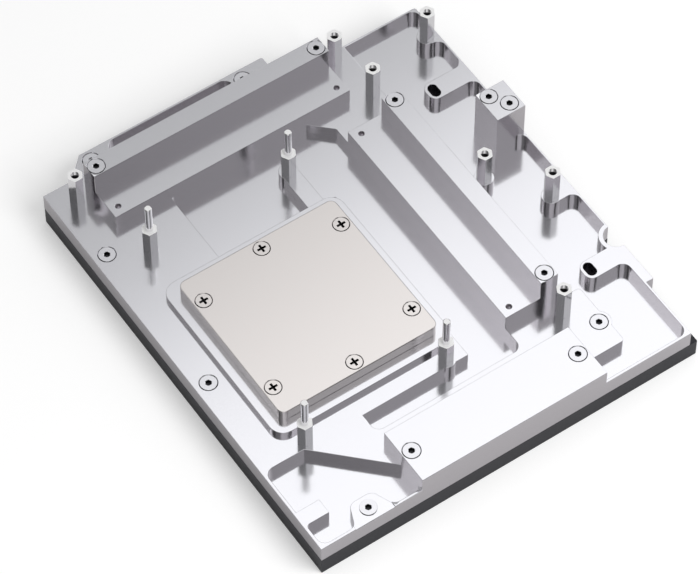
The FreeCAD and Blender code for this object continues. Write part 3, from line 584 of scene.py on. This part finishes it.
def in_place(name, one, places, finish, level_end_material):
    """The fasteners of one node as a plain mesh, set on their places."""
    points = bpy.data.meshes.new(name + "_places")
    points.from_pydata(places, [], [])
    row = bpy.data.objects.new(name + "_places", points)
    scene.collection.objects.link(row)
    scene.collection.objects.link(one)
    modifier = row.modifiers.new("place", "NODES")
    modifier.node_group = placing
    # The level ends take their own material, which on the pillars is a painted highlight, and the marked
    # bands the painted shade.
    values = {
        "Fastener": one, "Finish": finish, "Level End Material": level_end_material, "Recess Shade": recess_shade,
        "Level": LEVEL,
    }
    for item in placing.interface.items_tree:
        if item.in_out == "INPUT" and item.name in values:
            modifier[item.identifier] = values[item.name]
    ready = row.evaluated_get(bpy.context.evaluated_depsgraph_get())
    mesh = bpy.data.meshes.new_from_object(ready)
    mesh.name = name + "_finished"
    row.modifiers.remove(modifier)
    bpy.data.objects.remove(row)
    scene.collection.objects.unlink(one)
    for face in mesh.polygons:
        face.use_smooth = True
    mesh.set_sharp_from_angle(angle=FACETS)
    piece = bpy.data.objects.new(name + "_finished", mesh)
    scene.collection.objects.link(piece)
    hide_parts(name)
    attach(piece, "root")


def heads(name):
    """Where a node's separate solids have the middle of their tops."""
    form = bmesh.new()
    form.from_mesh(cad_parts[name].data)
    bmesh.ops.remove_doubles(form, verts=form.verts, dist=WELD)
    left = set(form.verts)
    places = []
    while left:
        solid = set()
        search = [left.pop()]
        while search:
            point = search.pop()
            solid.add(point)
            for line in point.link_edges:
                other = line.other_vert(point)
                if other in left:
                    left.remove(other)
                    search.append(other)
        across_x = [point.co.x for point in solid]
        across_y = [point.co.y for point in solid]
        middle = ((min(across_x) + max(across_x)) / 2, (min(across_y) + max(across_y)) / 2)
        places.append((*middle, max(point.co.z for point in solid)))
    form.free()
    return sorted(places)


# Pillars: hexagonal bar with a turned stem below, and above it a threaded bore or a pin

FLATS = 4.8
CORNER = FLATS / math.sqrt(3)
STEM = 1.5
STEM_LONG = 4.5
BORE = 1.25
BORE_DEEP = 10.0
PIN = 1.25
PIN_LONG = 11.5
BREAK = 0.12
# A bore's countersunk mouth, where its thread begins below its top, and the plain length at its bottom
MOUTH = 0.15
THREAD_IN = 0.2
RUN_OUT = 0.5
# The bands from a bore's upper thread to the level end round its mouth, which keep the steel; the bands
# below get the painted shade
BRIGHT_BANDS = 9
bar = hexagon(FLATS)


def pillar(name, tall, top_rings, dark):
    """A pillar from its top down to its stem, with its seat at height zero."""
    flank = [
        (tall, CORNER - BREAK, bar),
        (tall - BREAK, CORNER, bar),
        (BREAK, CORNER, bar),
        (0, CORNER - 2 * BREAK, bar),
        (0, STEM, None),
        (-STEM_LONG + BREAK, STEM, None),
        (-STEM_LONG, STEM - BREAK, None),
        (-STEM_LONG, 0, None),
    ]
    return turned(name, top_rings + flank, dark)


def bored(tall):
    """A blind threaded bore, from its bottom up to its countersunk mouth."""
    rings = [(tall - BORE_DEEP, 0, None), (tall - BORE_DEEP, BORE, None)]
    rings += reversed(thread(BORE + THREAD, tall - THREAD_IN, tall - BORE_DEEP + RUN_OUT))
    return rings + [(tall - MOUTH, BORE, None), (tall, BORE + MOUTH, None)]


def pinned(tall):
    """A plain pin with its end broken."""
    top = tall + PIN_LONG
    return [(top, 0, None), (top, PIN - 2 * BREAK, None), (top - 2 * BREAK, PIN, None), (tall, PIN, None)]


# Screws: a countersunk head with a short straight rim, a socket or a cross, and a threaded shank

BLOCK_HEAD = 2.65
SOCKET_HEAD = 2.85
RIM = 0.3
HEAD_BREAK = 0.06
SHANK = 1.5
# The plain length under the head, and the shank's chamfered end
NECK = 0.1
POINT = 0.3
# The bands of a head's rim and cone, which take the painted shade of a thin dark ring in the countersink
HEAD_SIDES = (5, 6)


def screw(name, head, length, socket, dark):
    """A countersunk screw with its head's top at height zero."""
    neck = -(RIM + head - SHANK)
    rings = list(reversed(socket))
    rings += [(0, head - HEAD_BREAK, None), (-HEAD_BREAK, head, None)]
    rings += [(-RIM, head, None), (neck, SHANK, None)]
    rings += thread(SHANK, neck - NECK, -length + POINT)
    rings += [(-length, SHANK - THREAD - NECK, None), (-length, 0, None)]
    return turned(name, rings, dark)


# Recesses, as rings of height, radius and outline from the head's top to the bottom
socket_outline = hexagon(2.0)
hex_socket = [
    (0, 1.17, None), (-0.05, 1.155, socket_outline), (-1.1, 1.155, socket_outline), (-1.2, 0, None),
]
cross_recess = [
    (0, 1.66, cross(0.42, 1.6)), (-0.9, 1.3, cross(0.3, 1.15)), (-1.2, 0.2, None), (-1.25, 0, None),
]


def height_of(name):
    """A node's height in mm."""
    low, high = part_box(name)
    return (high[2] - low[2]) / MM


# The pillars' level ends take the white end material, a painted highlight; screws keep one finish on their
# ends.
for node_name in sorted(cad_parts):
    low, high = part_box(node_name)
    middle = ((low[0] + high[0]) / 2, (low[1] + high[1]) / 2)
    seat = low[2] + STEM_LONG * MM
    if node_name.startswith("standoff_"):
        tall = height_of(node_name) - STEM_LONG
        mouth = bored(tall)
        one = pillar(node_name + "_one", tall, mouth, range(len(mouth) - BRIGHT_BANDS))
        in_place(node_name, one, [(*middle, seat)], stainless, lathe_end_and_highlight)
    elif node_name.startswith("stud_"):
        tall = height_of(node_name) - STEM_LONG - PIN_LONG
        one = pillar(node_name + "_one", tall, pinned(tall), [])
        in_place(node_name, one, [(*middle, seat)], stainless, lathe_end_and_highlight)
    elif node_name.endswith("_screws"):
        if node_name == "block_screws":
            head, recess, dark, finish = BLOCK_HEAD, cross_recess, [0, 1, 2, *HEAD_SIDES], nickel
        else:
            head, recess, dark, finish = SOCKET_HEAD, hex_socket, [0, 1, *HEAD_SIDES], zinc
        one = screw(node_name + "_one", head, height_of(node_name), recess, dark)
        in_place(node_name, one, heads(node_name), finish, finish)
